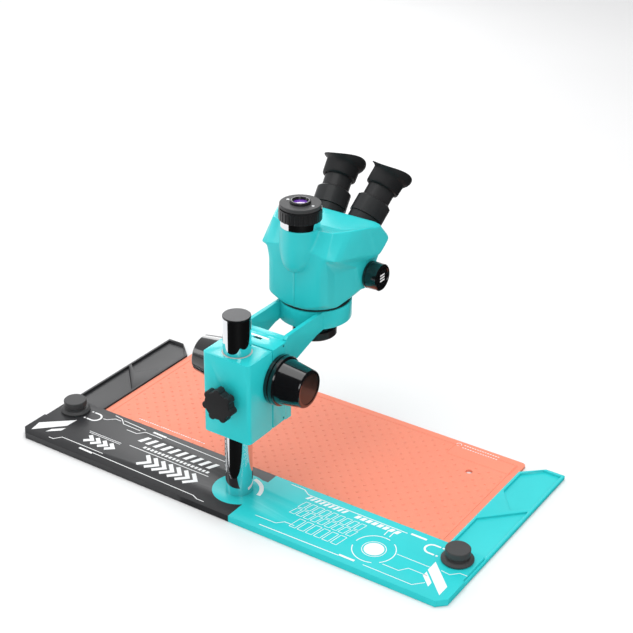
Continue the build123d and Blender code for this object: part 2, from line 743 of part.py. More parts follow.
with BuildPart() as zoom_drum:
    with Locations((0, zoom_y, zoom_z)):
        Cylinder(9.0, 40.0, rotation=(0, 90, 0))
        Cylinder(4.0, 40.0, rotation=(0, 90, 0), mode=Mode.SUBTRACT)
    for x in (-12.0, 0.0, 12.0):
        with BuildSketch(Plane.YZ.offset(x - 1.5)):
            with Locations((zoom_y, zoom_z)):
                Circle(9.5)
                Circle(7.6, mode=Mode.SUBTRACT)
        extrude(amount=3.0, mode=Mode.SUBTRACT)
finish(zoom_drum, "zoom_drum")

for side, name in ((-1, "left"), (1, "right")):
    with BuildPart() as zoom_knob:
        with BuildSketch(Plane.XY.offset(zoom_z)):
            with BuildLine():
                profile = [
                    (zoom_in, 4.0), (zoom_in, 13.5), (zoom_in + 0.6, zoom_r - 0.3),
                    (zoom_in + 3.0, zoom_r), (zoom_in + 3.3, zoom_r - 0.7),
                    (zoom_in + 4.0, zoom_r - 0.7), (zoom_in + 4.3, zoom_r - 0.1),
                    (zoom_out - 1.0, zoom_r - 0.5), (zoom_out, zoom_r - 1.6),
                    (zoom_out, 12.6), (zoom_out - 0.7, 12.2), (zoom_out - 0.7, 0.0),
                    (zoom_out - 4.0, 0.0), (zoom_out - 4.0, 4.0),
                ]
                Polyline(*[(side * x, zoom_y + r) for x, r in profile], close=True)
            make_face()
        revolve(axis=Axis((0, zoom_y, zoom_z), (1, 0, 0)))
    finish(zoom_knob, f"zoom_knob_{name}")

# ---------------------------------------------------------------- camera port
# Chromed tube fixed in the boss; the focusing ring turns on its upper end.
with BuildPart() as port_tube:
    with BuildSketch(Plane.XY.offset(port_low)):
        with Locations((0, port_y)):
            Circle(port_band_r)
    extrude(amount=port_ring_low - 0.3 - port_low)
    with BuildSketch(Plane.XY.offset(port_low - 14.0)):
        with Locations((0, port_y)):
            Circle(19.0)
    extrude(amount=port_ring_high - 2.0 - port_low + 14.0)
    with Locations((0, port_y, 300.0)):
        Cylinder(15.0, 60.0, mode=Mode.SUBTRACT)
finish(port_tube, "port_tube")

with BuildPart() as port_ring:
    with BuildSketch(Plane.XY.offset(port_ring_low)):
        with Locations((0, port_y)):
            Circle(port_ring_r)
            with PolarLocations(port_ring_r + 0.5, 30):
                Circle(1.1, mode=Mode.SUBTRACT)
    extrude(amount=port_ring_high - 1.5 - port_ring_low)
    with BuildSketch(Plane.XY.offset(port_ring_high - 1.5)):
        with Locations((0, port_y)):
            Circle(port_ring_r - 0.2)
    extrude(amount=1.5)
    with BuildSketch(Plane.XY.offset(port_ring_low)):
        with Locations((0, port_y)):
            Circle(19.0 + running)
    extrude(amount=port_ring_high - 1.7 - port_ring_low, mode=Mode.SUBTRACT)
    with Locations((0, port_y, port_ring_high)):
        Cylinder(10.0, 8.0, mode=Mode.SUBTRACT)
finish(port_ring, "port_ring")

# Satin end plate with two spanner holes, above a narrow groove.
with BuildPart() as port_plate:
    with BuildSketch(Plane.XY.offset(port_ring_high)):
        with Locations((0, port_y)):
            Circle(port_cap_r - 1.6)
    extrude(amount=1.2)
    with BuildSketch(Plane.XY.offset(port_ring_high + 1.2)):
        with Locations((0, port_y)):
            Circle(port_cap_r)
    extrude(amount=port_top - port_ring_high - 1.2)
    chamfer(port_plate.edges().group_by(Axis.Z)[-1], length=0.5)
    with Locations((0, port_y, port_top)):
        Cylinder(10.0, 20.0, mode=Mode.SUBTRACT)
        with PolarLocations(17.0, 2):
            Cylinder(2.2, 6.0, mode=Mode.SUBTRACT)
finish(port_plate, "port_plate")

# Threaded lens cell in the middle of the plate, and its coated lens.
with BuildPart() as port_lens_cell:
    with BuildSketch(Plane.XZ.offset(-port_y)):
        with BuildLine():
            cell = [
                (8.6, port_ring_high), (10.0, port_ring_high), (10.0, port_top),
                (port_lens_r, port_top), (port_lens_r, port_top + 1.8), (10.9, port_top + 3.2),
                (9.6, port_top + 3.2), (8.6, port_top + 1.0),
            ]
            Polyline(*cell, close=True)
        make_face()
    revolve(axis=Axis((0, port_y, 0), (0, 0, 1)))
finish(port_lens_cell, "port_lens_cell")

with BuildPart() as port_lens:
    with BuildSketch(Plane.XY.offset(port_top - 3.5)):
        with Locations((0, port_y)):
            Circle(8.55)
    extrude(amount=3.3)
finish(port_lens, "port_lens")

# ---------------------------------------------------------------- eyepieces
cup_low = 49.1
cup_floor = 64.0
stem_high = 32.3
for side, name in ((-1, "left"), (1, "right")):
    axis_plane = eye_plane(side)
    # Turret: a round base on the sloping face, the stem above it, a neck through the slot
    # and the pivot pin that the turret swings on.
    with BuildPart() as turret:
        with BuildSketch(axis_plane.offset(-6.0)):
            Circle(turret_r)
        extrude(amount=15.2)
        with BuildSketch(axis_plane.offset(9.2)):
            Circle(stem_r)
        extrude(amount=stem_high - 9.2)
        with BuildSketch(swing_plane(side, 0.3)):
            Rectangle(120.0, 120.0)
        extrude(amount=-40.0, mode=Mode.SUBTRACT)
        with BuildSketch(swing_plane(side, -7.0)):
            with Locations((0, swing_arm)):
                Circle(8.0)
            Circle(2.5)
        extrude(amount=8.0)
        with BuildSketch(axis_plane.offset(-20.0)):
            Circle(6.0)
        extrude(amount=60.0, mode=Mode.SUBTRACT)
        with BuildSketch(axis_plane.offset(12.0)):
            Circle(15.25)
        extrude(amount=40.0, mode=Mode.SUBTRACT)
    finish(turret, f"eye_turret_{name}")

    # Dioptre ring: turns on the stem, chamfered towards the eyepiece.
    with BuildPart() as dioptre:
        with BuildSketch(axis_plane.offset(9.8)):
            Circle(diopter_r)
        extrude(amount=20.3)
        with BuildSketch(axis_plane.offset(30.1)):
            Circle(diopter_r)
        extrude(amount=2.2, taper=48)
        with BuildSketch(axis_plane.offset(9.0)):
            Circle(stem_r + running)
        extrude(amount=40.0, mode=Mode.SUBTRACT)
    finish(dioptre, f"dioptre_ring_{name}")

    # Eyepiece: a barrel in the stem, a shoulder on top of it and a grip under the cup.
    with BuildPart() as ocular:
        with BuildSketch(axis_plane.offset(12.5)):
            Circle(15.2)
        extrude(amount=stem_high - 12.5)
        with BuildSketch(axis_plane.offset(stem_high)):
            Circle(ocular_r)
        extrude(amount=cup_floor - stem_high)
        with BuildSketch(axis_plane.offset(12.0)):
            Circle(12.6)
        extrude(amount=40.0, mode=Mode.SUBTRACT)
        with BuildSketch(axis_plane.offset(50.0)):
            Circle(12.0)
        extrude(amount=20.0, mode=Mode.SUBTRACT)
    finish(ocular, f"eyepiece_{name}")

    with BuildPart() as eye_lens:
        with BuildSketch(axis_plane.offset(52.0)):
            Circle(12.0)
        extrude(amount=cup_floor - 52.4)
    finish(eye_lens, f"eye_lens_{name}")

    # Rubber cup: turns on the eyepiece, and flares into a shield on one side.
    with BuildPart() as cup:
        with BuildSketch(axis_plane.offset(cup_low)):
            Circle(cup_r)
        extrude(amount=66.0 - cup_low)
        with BuildSketch(axis_plane.offset(66.0)):
            Circle(cup_r + 0.5)
        with BuildSketch(axis_plane.offset(80.0)):
            Circle(cup_r + 7.5)
        loft(ruled=True)
        with BuildSketch(axis_plane.offset(cup_low - 1.0)):
            Circle(ocular_r + 0.1)
        extrude(amount=cup_floor + 0.3 - cup_low + 1.0, mode=Mode.SUBTRACT)
        with BuildSketch(axis_plane.offset(cup_floor)):
            Circle(ocular_r + 0.1)
        with BuildSketch(axis_plane.offset(80.5)):
            Circle(cup_r + 5.8)
        loft(ruled=True, mode=Mode.SUBTRACT)
        rim = axis_plane.offset(75.0).rotated((0, 8.0, 0))
        with BuildSketch(rim):
            Rectangle(120.0, 120.0)
        extrude(amount=40.0, mode=Mode.SUBTRACT)
    finish(cup, f"eyecup_{name}")
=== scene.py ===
import math
import bpy
import bmesh
import numpy as np
from mathutils import Matrix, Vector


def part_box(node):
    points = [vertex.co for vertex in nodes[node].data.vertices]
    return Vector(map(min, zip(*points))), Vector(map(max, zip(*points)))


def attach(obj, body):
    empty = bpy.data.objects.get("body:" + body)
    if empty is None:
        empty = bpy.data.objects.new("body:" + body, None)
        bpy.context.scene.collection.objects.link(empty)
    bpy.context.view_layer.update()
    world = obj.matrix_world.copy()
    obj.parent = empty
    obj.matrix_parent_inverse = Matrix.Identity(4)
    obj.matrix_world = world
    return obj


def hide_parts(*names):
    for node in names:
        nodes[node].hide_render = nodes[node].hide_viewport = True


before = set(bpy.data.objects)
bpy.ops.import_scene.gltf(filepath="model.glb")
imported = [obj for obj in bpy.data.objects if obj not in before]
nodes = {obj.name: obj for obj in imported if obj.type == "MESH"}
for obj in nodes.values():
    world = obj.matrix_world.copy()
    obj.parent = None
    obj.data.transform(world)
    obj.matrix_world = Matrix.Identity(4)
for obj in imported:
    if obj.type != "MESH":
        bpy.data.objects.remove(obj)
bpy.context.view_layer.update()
MM = 0.001

# ---------------------------------------------------------------- bench, light and camera
# A white seamless bench in a daylight studio: one broad soft box overhead, one behind the
# camera and a low one from the user's side. The camera stands behind and above the column.
# The bench and the sky carry a painted dark reflection: they turn black to mirror-like rays that leave
# towards the camera's end.


def plane_mesh(name, x0, x1, y0, y1, z):
    """A flat four-sided sheet at height z, its face upwards."""
    mesh = bpy.data.meshes.new(name)
    mesh.from_pydata([(x0, y0, z), (x1, y0, z), (x1, y1, z), (x0, y1, z)], [], [(0, 1, 2, 3)])
    made = bpy.data.objects.new(name, mesh)
    bpy.context.scene.collection.objects.link(made)
    return made


class Wire:
    """The output of a shader node. Arithmetic on it adds the Math nodes that work it out."""

    def __init__(self, tree, socket=None):
        self.tree = tree
        self.socket = socket

    def node(self, kind, settings=None, values=None, output=0):
        """One node of a kind: its settings are set first, then its sockets by value or link."""
        made = self.tree.nodes.new("ShaderNode" + kind)
        for key, value in (settings or {}).items():
            if key == "stops":
                ramp = made.color_ramp
                while len(ramp.elements) < len(value):
                    ramp.elements.new(0.5)
                for element, (place, shade) in zip(ramp.elements, value):
                    element.position = place
                    element.color = shade
            else:
                setattr(made, key, value)
        for key, value in (values or {}).items():
            if isinstance(value, Wire):
                self.tree.links.new(value.socket, made.inputs[key])
            else:
                made.inputs[key].default_value = value
        return Wire(self.tree, made.outputs[output])

    def math(self, operation, *terms):
        return self.node("Math", {"operation": operation}, dict(enumerate(terms)))

    def __add__(self, other):
        return self.math("ADD", self, other)

    def __sub__(self, other):
        return self.math("SUBTRACT", self, other)

    def __rsub__(self, other):
        return self.math("SUBTRACT", other, self)

    def __mul__(self, other):
        return self.math("MULTIPLY", self, other)

    def __gt__(self, other):
        return self.math("GREATER_THAN", self, other)

    def __lt__(self, other):
        return self.math("LESS_THAN", self, other)

    def __abs__(self):
        return self.math("ABSOLUTE", self)

    __radd__ = __add__
    __rmul__ = __mul__

    def within(self, low, high):
        """1 where this lies between low and high, 0 elsewhere."""
        return (self > low) * (self < high)

    def mixed(self, low, high):
        """The colour that goes from low, where this is 0, to high, where it is 1."""
        sockets = {"Factor": self, 6: low, 7: high}
        return self.node("Mix", {"data_type": "RGBA"}, sockets, output=2)


def new_finish(name):
    """An empty material: its tree as a Wire, its shader, and the Object coordinates."""
    made = bpy.data.materials.new(name)
    made.use_nodes = True
    tree = Wire(made.node_tree)
    place = tree.node("TexCoord", output="Object")
    return made, tree, made.node_tree.nodes["Principled BSDF"], place


def feed(tree, shader, **sockets):
    """Sets or links the shader's sockets; underscores stand for the spaces in their names."""
    for key, value in sockets.items():
        socket = shader.inputs[key.replace("_", " ")]
        if isinstance(value, Wire):
            tree.tree.links.new(value.socket, socket)
        else:
            socket.default_value = value


def noise(tree, place, scale, detail=2.0):
    """Cloudy noise from 0 to 1, with features about 1/scale metres across."""
    return tree.node("TexNoise", {}, {"Vector": place, "Scale": scale, "Detail": detail})


def grain(tree, height, strength, depth):
    """A surface normal roughened by a height pattern, depth metres from low to high."""
    return tree.node("Bump", {}, {"Height": height, "Strength": strength, "Distance": depth})


def painted_dark_reflection(tree, place, shade):
    """The shade, but black to mirror-like rays that leave towards the camera's end of the room or the
    turquoise end: a painted dark reflection, so polished parts mirror black there."""
    east = tree.node("SeparateXYZ", {}, {"Vector": place}, output="X")
    north = tree.node("SeparateXYZ", {}, {"Vector": place}, output="Y")
    reach = tree.node("VectorMath", {"operation": "LENGTH"}, {0: place}, output="Value")
    facing = (north * 0.39 - east * 0.92) * reach.math("DIVIDE", 1.0, reach)
    # painted dark reflection: glossy rays towards the camera's end or the turquoise end get black
    painted_reflection_mask = (facing > -0.34) * tree.node("LightPath", output="Is Glossy Ray")
    return painted_reflection_mask.mixed(shade, (0.002, 0.002, 0.002, 1))


# The bench is white to the camera, but painted black to mirror-like rays towards the camera's end: a
# painted dark reflection.
bench, tree, shader, place = new_finish("bench_white")
paper = noise(tree, place, 3.0).mixed((0.86, 0.86, 0.86, 1), (0.9, 0.9, 0.9, 1))
feed(
    tree, shader, Base_Color=painted_dark_reflection(tree, place, paper), Roughness=0.75, Specular_IOR_Level=0.1,
)
floor = plane_mesh("bench_top", -6.0, 6.0, -6.0, 6.0, -0.0004)
floor.data.materials.append(bench)

world = bpy.data.worlds.new("studio")
world.use_nodes = True
sky = Wire(world.node_tree)
outward = sky.node("TexCoord", output="Generated")
split = sky.node("SeparateXYZ", {}, {"Vector": outward}, output="Z")
sky_stops = [(0.0, (0.75, 0.76, 0.78, 1)), (0.52, (0.6, 0.61, 0.63, 1)), (1.0, (1.0, 1.0, 1.0, 1))]
sky_shade = sky.node("ValToRGB", {"stops": sky_stops}, {"Fac": split * 0.5 + 0.5})
background = world.node_tree.nodes["Background"]
# The sky is painted black to mirror-like rays towards the camera's end: a painted dark reflection.
world.node_tree.links.new(painted_dark_reflection(sky, outward, sky_shade).socket, background.inputs["Color"])
background.inputs["Strength"].default_value = 0.85
bpy.context.scene.world = world


def soft_box(name, spot, aim, width, depth, power):
    """A rectangular soft light at spot, facing aim."""
    lamp = bpy.data.lights.new(name, "AREA")
    lamp.shape = "RECTANGLE"
    lamp.size = width
    lamp.size_y = depth
    lamp.energy = power
    made = bpy.data.objects.new(name, lamp)
    made.location = spot
    way = np.array(aim) - np.array(spot)
    turn = Matrix.Identity(3)
    back = -way / np.linalg.norm(way)
    side = np.cross((0, 0, 1), back) + (1e-6, 0, 0)
    side = side / np.linalg.norm(side)
    turn.col[0] = side
    turn.col[1] = np.cross(back, side)
    turn.col[2] = back
    made.rotation_mode = "QUATERNION"
    made.rotation_quaternion = turn.to_quaternion()
    bpy.context.scene.collection.objects.link(made)
    return made


soft_box("overhead", (0.1, -0.1, 1.9), (0, -0.1, 0), 1.6, 1.6, 17.5)
soft_box("behind_camera", (-1.6, 1.5, 1.1), (0, -0.1, 0.15), 0.9, 0.9, 8.0)
soft_box("charcoal_side", (1.9, 1.0, 0.7), (0, -0.1, 0.2), 0.7, 0.9, 6.0)
soft_box("user_side", (1.4, -1.6, 0.9), (0, -0.1, 0.1), 0.8, 1.0, 8.0)

camera = bpy.data.objects.new("camera", bpy.data.cameras.new("camera"))
camera.data.lens = 83.43
camera.data.clip_end = 50.0
heading, dip, lean = math.radians(146.739), math.radians(27.552), math.radians(0.749)
ahead = np.array((
    math.cos(dip) * math.sin(heading), math.cos(dip) * math.cos(heading), -math.sin(dip),
))
level = np.cross(ahead, (0, 0, 1))
level = level / np.linalg.norm(level)
above = np.cross(level, ahead)
stance = Matrix.Identity(4)
for row in range(3):
    stance[row][0] = math.cos(lean) * level[row] + math.sin(lean) * above[row]
    stance[row][1] = -math.sin(lean) * level[row] + math.cos(lean) * above[row]
    stance[row][2] = -ahead[row]
    stance[row][3] = (-0.85204, 1.13998, 0.97650)[row]
camera.matrix_world = stance
bpy.context.scene.collection.objects.link(camera)
bpy.context.scene.camera = camera
bpy.context.scene.view_settings.view_transform = "Standard"

# ---------------------------------------------------------------- base bar and trays
# A powder-coated steel bar with a tray at each end. One end is charcoal, the other
# turquoise, masked on a stepped line beside the column before the second coat.

TURQUOISE = (0.028, 0.66, 0.68, 1)
TURQUOISE_DEEP = (0.022, 0.6, 0.625, 1)
CHARCOAL = (0.032, 0.032, 0.034, 1)


def painted(name, shade_low, shade_high, rough=0.34, coat=0.25):
    """Sprayed enamel: slight mottling, orange peel and a few duller patches."""
    made, tree, shader, place = new_finish(name)
    mottle = noise(tree, place, 34.0, 4.0)
    peel = noise(tree, place, 900.0)
    dull = noise(tree, place, 7.0, 5.0)
    feed(
        tree, shader, Base_Color=mottle.mixed(shade_low, shade_high),
        Roughness=dull * 0.16 + (rough - 0.08), Coat_Weight=coat, Coat_Roughness=0.12,
        Specular_IOR_Level=0.3,
        Normal=grain(tree, peel, 0.35, 0.00008),
    )
    return made


def two_tone(name):
    """Charcoal for positive x and turquoise for negative x, with a round island of turquoise."""
    made, tree, shader, place = new_finish(name)
    across = tree.node("SeparateXYZ", {}, {"Vector": place}, output="X")
    along = tree.node("SeparateXYZ", {}, {"Vector": place}, output="Y")
    rim = tree.node(
        "VectorMath", {"operation": "LENGTH"},
        {0: tree.node("CombineXYZ", {}, {"X": across, "Y": along})}, output="Value",
    )
    # Behind the column the line stands left of the middle; in front it steps twice.
    rear = (along > 0.0) * (across > -0.0215)
    front = (along < -0.0295) * (across > -0.020)
    middle = along.within(-0.0295, 0.0) * (across > 0.0)
    dark = rear.math("MAXIMUM", rear, front.math("MAXIMUM", front, middle)) * (rim > 0.0318)
    mottle = noise(tree, place, 34.0, 4.0)
    peel = noise(tree, place, 900.0)
    dull = noise(tree, place, 7.0, 5.0)
    bright = mottle.mixed(TURQUOISE_DEEP, TURQUOISE)
    deep = mottle.mixed((0.028, 0.028, 0.03, 1), (0.037, 0.037, 0.039, 1))
    feed(
        tree, shader, Base_Color=dark.mixed(bright, deep), Roughness=dull * 0.16 + 0.32,
        Coat_Weight=0.05, Coat_Roughness=0.15, Specular_IOR_Level=0.25,
        Normal=grain(tree, peel, 0.35, 0.00008),
    )
    return made


turquoise_paint = painted("turquoise_enamel", TURQUOISE_DEEP, TURQUOISE)
charcoal_paint = painted("charcoal_enamel", (0.026, 0.026, 0.028, 1), CHARCOAL, 0.42, 0.02)
two_tone_paint = two_tone("two_tone_enamel")


def softened(name, sources, body, material, width, merge=True):
    """The CAD nodes' own surfaces joined in one mesh, with their sharp edges rounded."""
    shape = bmesh.new()
    for source in sources:
        shape.from_mesh(nodes[source].data)
    bmesh.ops.remove_doubles(shape, verts=shape.verts, dist=1e-6)
    if merge:
        bmesh.ops.dissolve_limit(
            shape, angle_limit=math.radians(0.5), verts=shape.verts, edges=shape.edges,
        )
    for face in shape.faces:
        face.smooth = True
    mesh = bpy.data.meshes.new(name)
    shape.to_mesh(mesh)
    shape.free()
    made = bpy.data.objects.new(name, mesh)
    bpy.context.scene.collection.objects.link(made)
    mesh.materials.append(material)
    edge = made.modifiers.new("rounded_edges", "BEVEL")
    edge.width = width
    edge.segments = 3
    edge.limit_method = "ANGLE"
    edge.angle_limit = math.radians(32.0)
    edge.harden_normals = True
    edge.miter_outer = "MITER_ARC"
    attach(made, body)
    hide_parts(*sources)
    return made


softened("base_plate", ["base_bar"], "base", two_tone_paint, 0.0009)
softened("tray_turquoise", ["tray_left"], "base", turquoise_paint, 0.0007, False)
softened("tray_charcoal", ["tray_right"], "base", charcoal_paint, 0.0007, False)

# ---------------------------------------------------------------- printed line work
# White ink screen-printed on the bar: thin traces like a circuit board's, slanted hatching,
# chevrons, frames, a plain horseshoe magnet beside each hold-down and a ringed disc.

INK_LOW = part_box("base_bar")[1].z + 0.00002
INK_HIGH = INK_LOW + 0.00006


def stroke(points, width):
    """A strip of even width along straight runs, mitred at its corners: its outline."""
    line = np.array(points, float)
    run = np.diff(line, axis=0)
    run /= np.linalg.norm(run, axis=1)[:, None]
    normal = np.stack([-run[:, 1], run[:, 0]], 1)
    first = np.vstack([normal[:1], normal])
    last = np.vstack([normal, normal[-1:]])
    mitre = (first + last) / (1 + (first * last).sum(1))[:, None]
    half = mitre * width / 2
    return np.vstack([line + half, (line - half)[::-1]])


def arc(x, y, radius, start, end, count=28):
    """Points on part of a circle, from start to end in degrees."""
    turn = np.radians(np.linspace(start, end, count))
    return np.stack([x + radius * np.cos(turn), y + radius * np.sin(turn)], 1)


def slanted(x, y, length, depth, lean):
    """A parallelogram from a corner: length along x, depth along y, leaning by lean."""
    return np.array([(x, y), (x + length, y), (x + length + lean, y + depth), (x + lean, y + depth)])


def inked(name, outlines, material, low=INK_LOW, high=INK_HIGH):
    """Closed slabs of ink a few hundredths of a millimetre thick, one for each outline in mm."""
    corners, faces = [], []
    for outline in outlines:
        flat = np.asarray(outline, float)
        area = (flat[:, 0] * np.roll(flat[:, 1], -1) - np.roll(flat[:, 0], -1) * flat[:, 1]).sum()
        if area < 0:
            flat = flat[::-1]
        count, first = len(flat), sum(len(block) for block in corners)
        for level in (low, high):
            corners.append(np.column_stack([flat * MM, np.full(count, level)]))
        ring = first + np.arange(count)
        if count % 2 == 0 and count > 8:
            half = count // 2
            sheet = np.stack([ring[:half - 1], ring[1:half], ring[::-1][1:half], ring[::-1][:half - 1]], 1)
        else:
            sheet = ring[None, :]
        faces += [tuple(face[::-1]) for face in sheet] + [tuple(face + count) for face in sheet]
        after = np.roll(ring, -1)
        faces += [tuple(face) for face in np.stack([ring, after, after + count, ring + count], 1)]
    mesh = bpy.data.meshes.new(name)
    mesh.from_pydata(np.vstack(corners).tolist(), [], [[int(i) for i in face] for face in faces])
    mesh.materials.append(material)
    made = bpy.data.objects.new(name, mesh)
    bpy.context.scene.collection.objects.link(made)
    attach(made, "base")
    return made


ink, tree, shader, place = new_finish("white_ink")
cover = noise(tree, place, 260.0, 3.0)
feed(
    tree, shader, Base_Color=cover.mixed((0.84, 0.84, 0.84, 1), (0.93, 0.93, 0.93, 1)),
    Roughness=noise(tree, place, 50.0) * 0.2 + 0.35, Normal=grain(tree, cover, 0.3, 0.00003),
)

thin, fine, bold, heavy = 1.1, 0.8, 3.0, 5.0
disc_x, disc_y = -190.5, 10.5
traces = [
    # charcoal side: traces along the mat, across the middle and along the back edge
    ([(232, -28), (227, -29), (219, -36.5), (210, -36.5)], thin),
    ([(224, -42.5), (212, -41), (203, -33), (176, -32.5)], thin),
    ([(207, -39.5), (171, -37.5)], thin),
    ([(191, -25), (175, -25), (168, -33.5), (142, -33.5)], thin),
    ([(138, -38), (47, -36.2)], thin),
    ([(259, 42), (252, 42), (245, 33), (180, 33)], thin),
    ([(192, 38.5), (36, 41), (28, 44.5), (18, 44.5)], thin),
    ([(165, 0.5), (45, 0.5)], thin),
    ([(227, 3), (176, 3)], fine),
    ([(225, 5.6), (176, 5.6)], fine),
    # turquoise side
    ([(-45, -42), (-64, -41.5), (-73, -35.5), (-206, -35.5)], thin),
    ([(-46, 32), (-74, 31.5), (-81, 24), (-94, 24)], fine),
    ([(-60, 44), (-164, 42)], thin),
    ([(-195, 41), (-256, 41), (-266, 30)], fine),
    ([(-212, 28), (-232, 28), (-239, 18.5), (-262, 18.5)], fine),
    ([(-216, 4), (-257, 4)], fine),
    ([(-270, 2), (-281, 3.5), (-289, -5), (-298, -5)], fine),
    # two short leads from the ringed disc towards the mat
    ([(-186, -18), (-186, -27)], thin),
    ([(-193, -18), (-193, -27)], thin),
]
outlines = [stroke(points, width) for points, width in traces]
outlines += [
    stroke(arc(disc_x, disc_y, 24.5, start, start + 100, 22), thin) for start in (15, 135, 255)
]
outlines += [stroke(arc(disc_x, disc_y, 13.6, 0, 360, 41), fine), arc(disc_x, disc_y, 11.4, 0, 351, 40)]
# broad dashes
for x, y in ((160, -39), (212, 39)):
    outlines.append(stroke([(x, y), (x - 21, y + 0.6)], bold))
for x, y in ((-210, -37), (-164, 40.5)):
    outlines.append(stroke([(x, y), (x - 20, y)], bold))
# hatching, and slanted frames and blocks in rows
outlines += [slanted(48 + 11.6 * k, -26.5, 5.6, 13.5, 6.0) for k in range(10)]
outlines += [slanted(-81 - 6.1 * k, -34.2, 3.4, 7.0, 3.4) for k in range(9)]
outlines += [slanted(-148 - 7.4 * k, -33.5, 5.2, 6.4, 2.4) for k in range(8)]


def chevron(x, y, length, depth):
    """A bold arrowhead without a shaft, its point towards negative x."""
    return stroke([(x + length, y), (x, y + depth / 2), (x + length, y + depth)], heavy)


def frame_outline(x, y, length, depth, lean, line):
    """A slanted frame's four strokes."""
    block = slanted(x, y, length, depth, lean)
    corners = np.vstack([block, block[:1]])
    return [stroke(corners[k:k + 2], line) for k in range(4)]


outlines += [chevron(52 + 11.6 * k, 5.0, 11.0, 22.0) for k in range(7)]
outlines += [chevron(178 + 11.0 * k, 10.0, 8.0, 14.0) for k in range(4)]
for k in range(9):
    outlines += frame_outline(-86 - 9.4 * k, -22.0, 6.6, 13.0, 3.0, 0.7)
    outlines += frame_outline(-84 - 9.4 * k, -6.5, 6.6, 12.0, 3.0, 0.7)
for k in range(6):
    outlines += frame_outline(-100 - 11.0 * k, 9.5, 8.0, 18.0, 3.0, 0.7)
outlines += [slanted(49 + 5.6 * k, -8.2, 3.6, 4.2, 0.8) for k in range(18)]
# corner flashes
outlines.append(np.array([(289, 41), (292, 24), (257, -7), (258, 10)]))
outlines.append(np.array([(271, 35), (268.5, 26.5), (255.5, 15), (256.5, 22.5)]))
outlines.append(np.array([(-257.5, -8), (-257.5, 9), (-289, 40), (-289, 23)]))
outlines.append(np.array([(-258, 12.5), (-258, 20.5), (-272, 34), (-272, 26.5)]))
# horseshoe magnets: a half ring with two legs, open towards its hold-down
for side in (-1, 1):
    outlines.append(stroke(np.vstack([
        [(side * 250, -17.5)], arc(243, -25.5, 8.0, 90, 270, 22) * (side, 1), [(side * 250, -33.5)],
    ]), 2.4))
    outlines += [stroke([(side * 252, y), (side * 254.5, y)], 2.4) for y in (-33.5, -17.5)]
# arc beside the column's foot
outlines.append(stroke(arc(0, 0, 26.0, 183, 262, 30), heavy))
inked("printed_lines", outlines, ink)

# ---------------------------------------------------------------- work mat
# Moulded silicone sheet: round nubs in a diamond grid, a shallow bead parallel to its edges
# and a plain framed panel beside the hanging hole.

silicone, tree, shader, place = new_finish("coral_silicone")
cloud = noise(tree, place, 12.0, 5.0)
pores = noise(tree, place, 1400.0, 3.0)
feed(
    tree, shader, Base_Color=cloud.mixed((0.92, 0.27, 0.17, 1), (0.98, 0.3, 0.19, 1)),
    Roughness=noise(tree, place, 25.0, 4.0) * 0.14 + 0.5, Subsurface_Weight=0.08,
    Subsurface_Scale=0.002, Specular_IOR_Level=0.35, Normal=grain(tree, pores, 0.4, 0.00008),
)
nodes["work_mat"].data.materials.clear()
nodes["work_mat"].data.materials.append(silicone)

mat_low, mat_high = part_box("work_mat")
mat_top = mat_high.z


def surface(name, points, body, material, close_u=False, close_v=False, smooth=True):
    """A mesh over a grid of points: rows along u, columns along v, either of them closed."""
    rows, columns = points.shape[:2]
    index = np.arange(rows * columns).reshape(rows, columns)
    down = np.vstack([index, index[:1]]) if close_u else index
    full = np.hstack([down, down[:, :1]]) if close_v else down
    quads = np.stack([full[:-1, :-1], full[1:, :-1], full[1:, 1:], full[:-1, 1:]], -1).reshape(-1, 4)
    return closed_mesh(name, points.reshape(-1, 3), quads, body, material, smooth)


def closed_mesh(name, corners, quads, body, material, smooth=True):
    """One object from corner points and faces, welded, its faces turned outwards."""
    mesh = bpy.data.meshes.new(name)
    mesh.from_pydata(corners.tolist(), [], quads.tolist())
    shape = bmesh.new()
    shape.from_mesh(mesh)
    bmesh.ops.remove_doubles(shape, verts=shape.verts, dist=1e-6)
    bmesh.ops.dissolve_degenerate(shape, dist=1e-7, edges=shape.edges)
    loops = [edge for edge in shape.edges if edge.is_boundary]
    if loops:
        bmesh.ops.holes_fill(shape, edges=loops)
    bmesh.ops.recalc_face_normals(shape, faces=shape.faces)
    shape.to_mesh(mesh)
    shape.free()
    mesh.polygons.foreach_set("use_smooth", [smooth] * len(mesh.polygons))
    mesh.materials.append(material)
    made = bpy.data.objects.new(name, mesh)
    bpy.context.scene.collection.objects.link(made)
    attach(made, body)
    return made


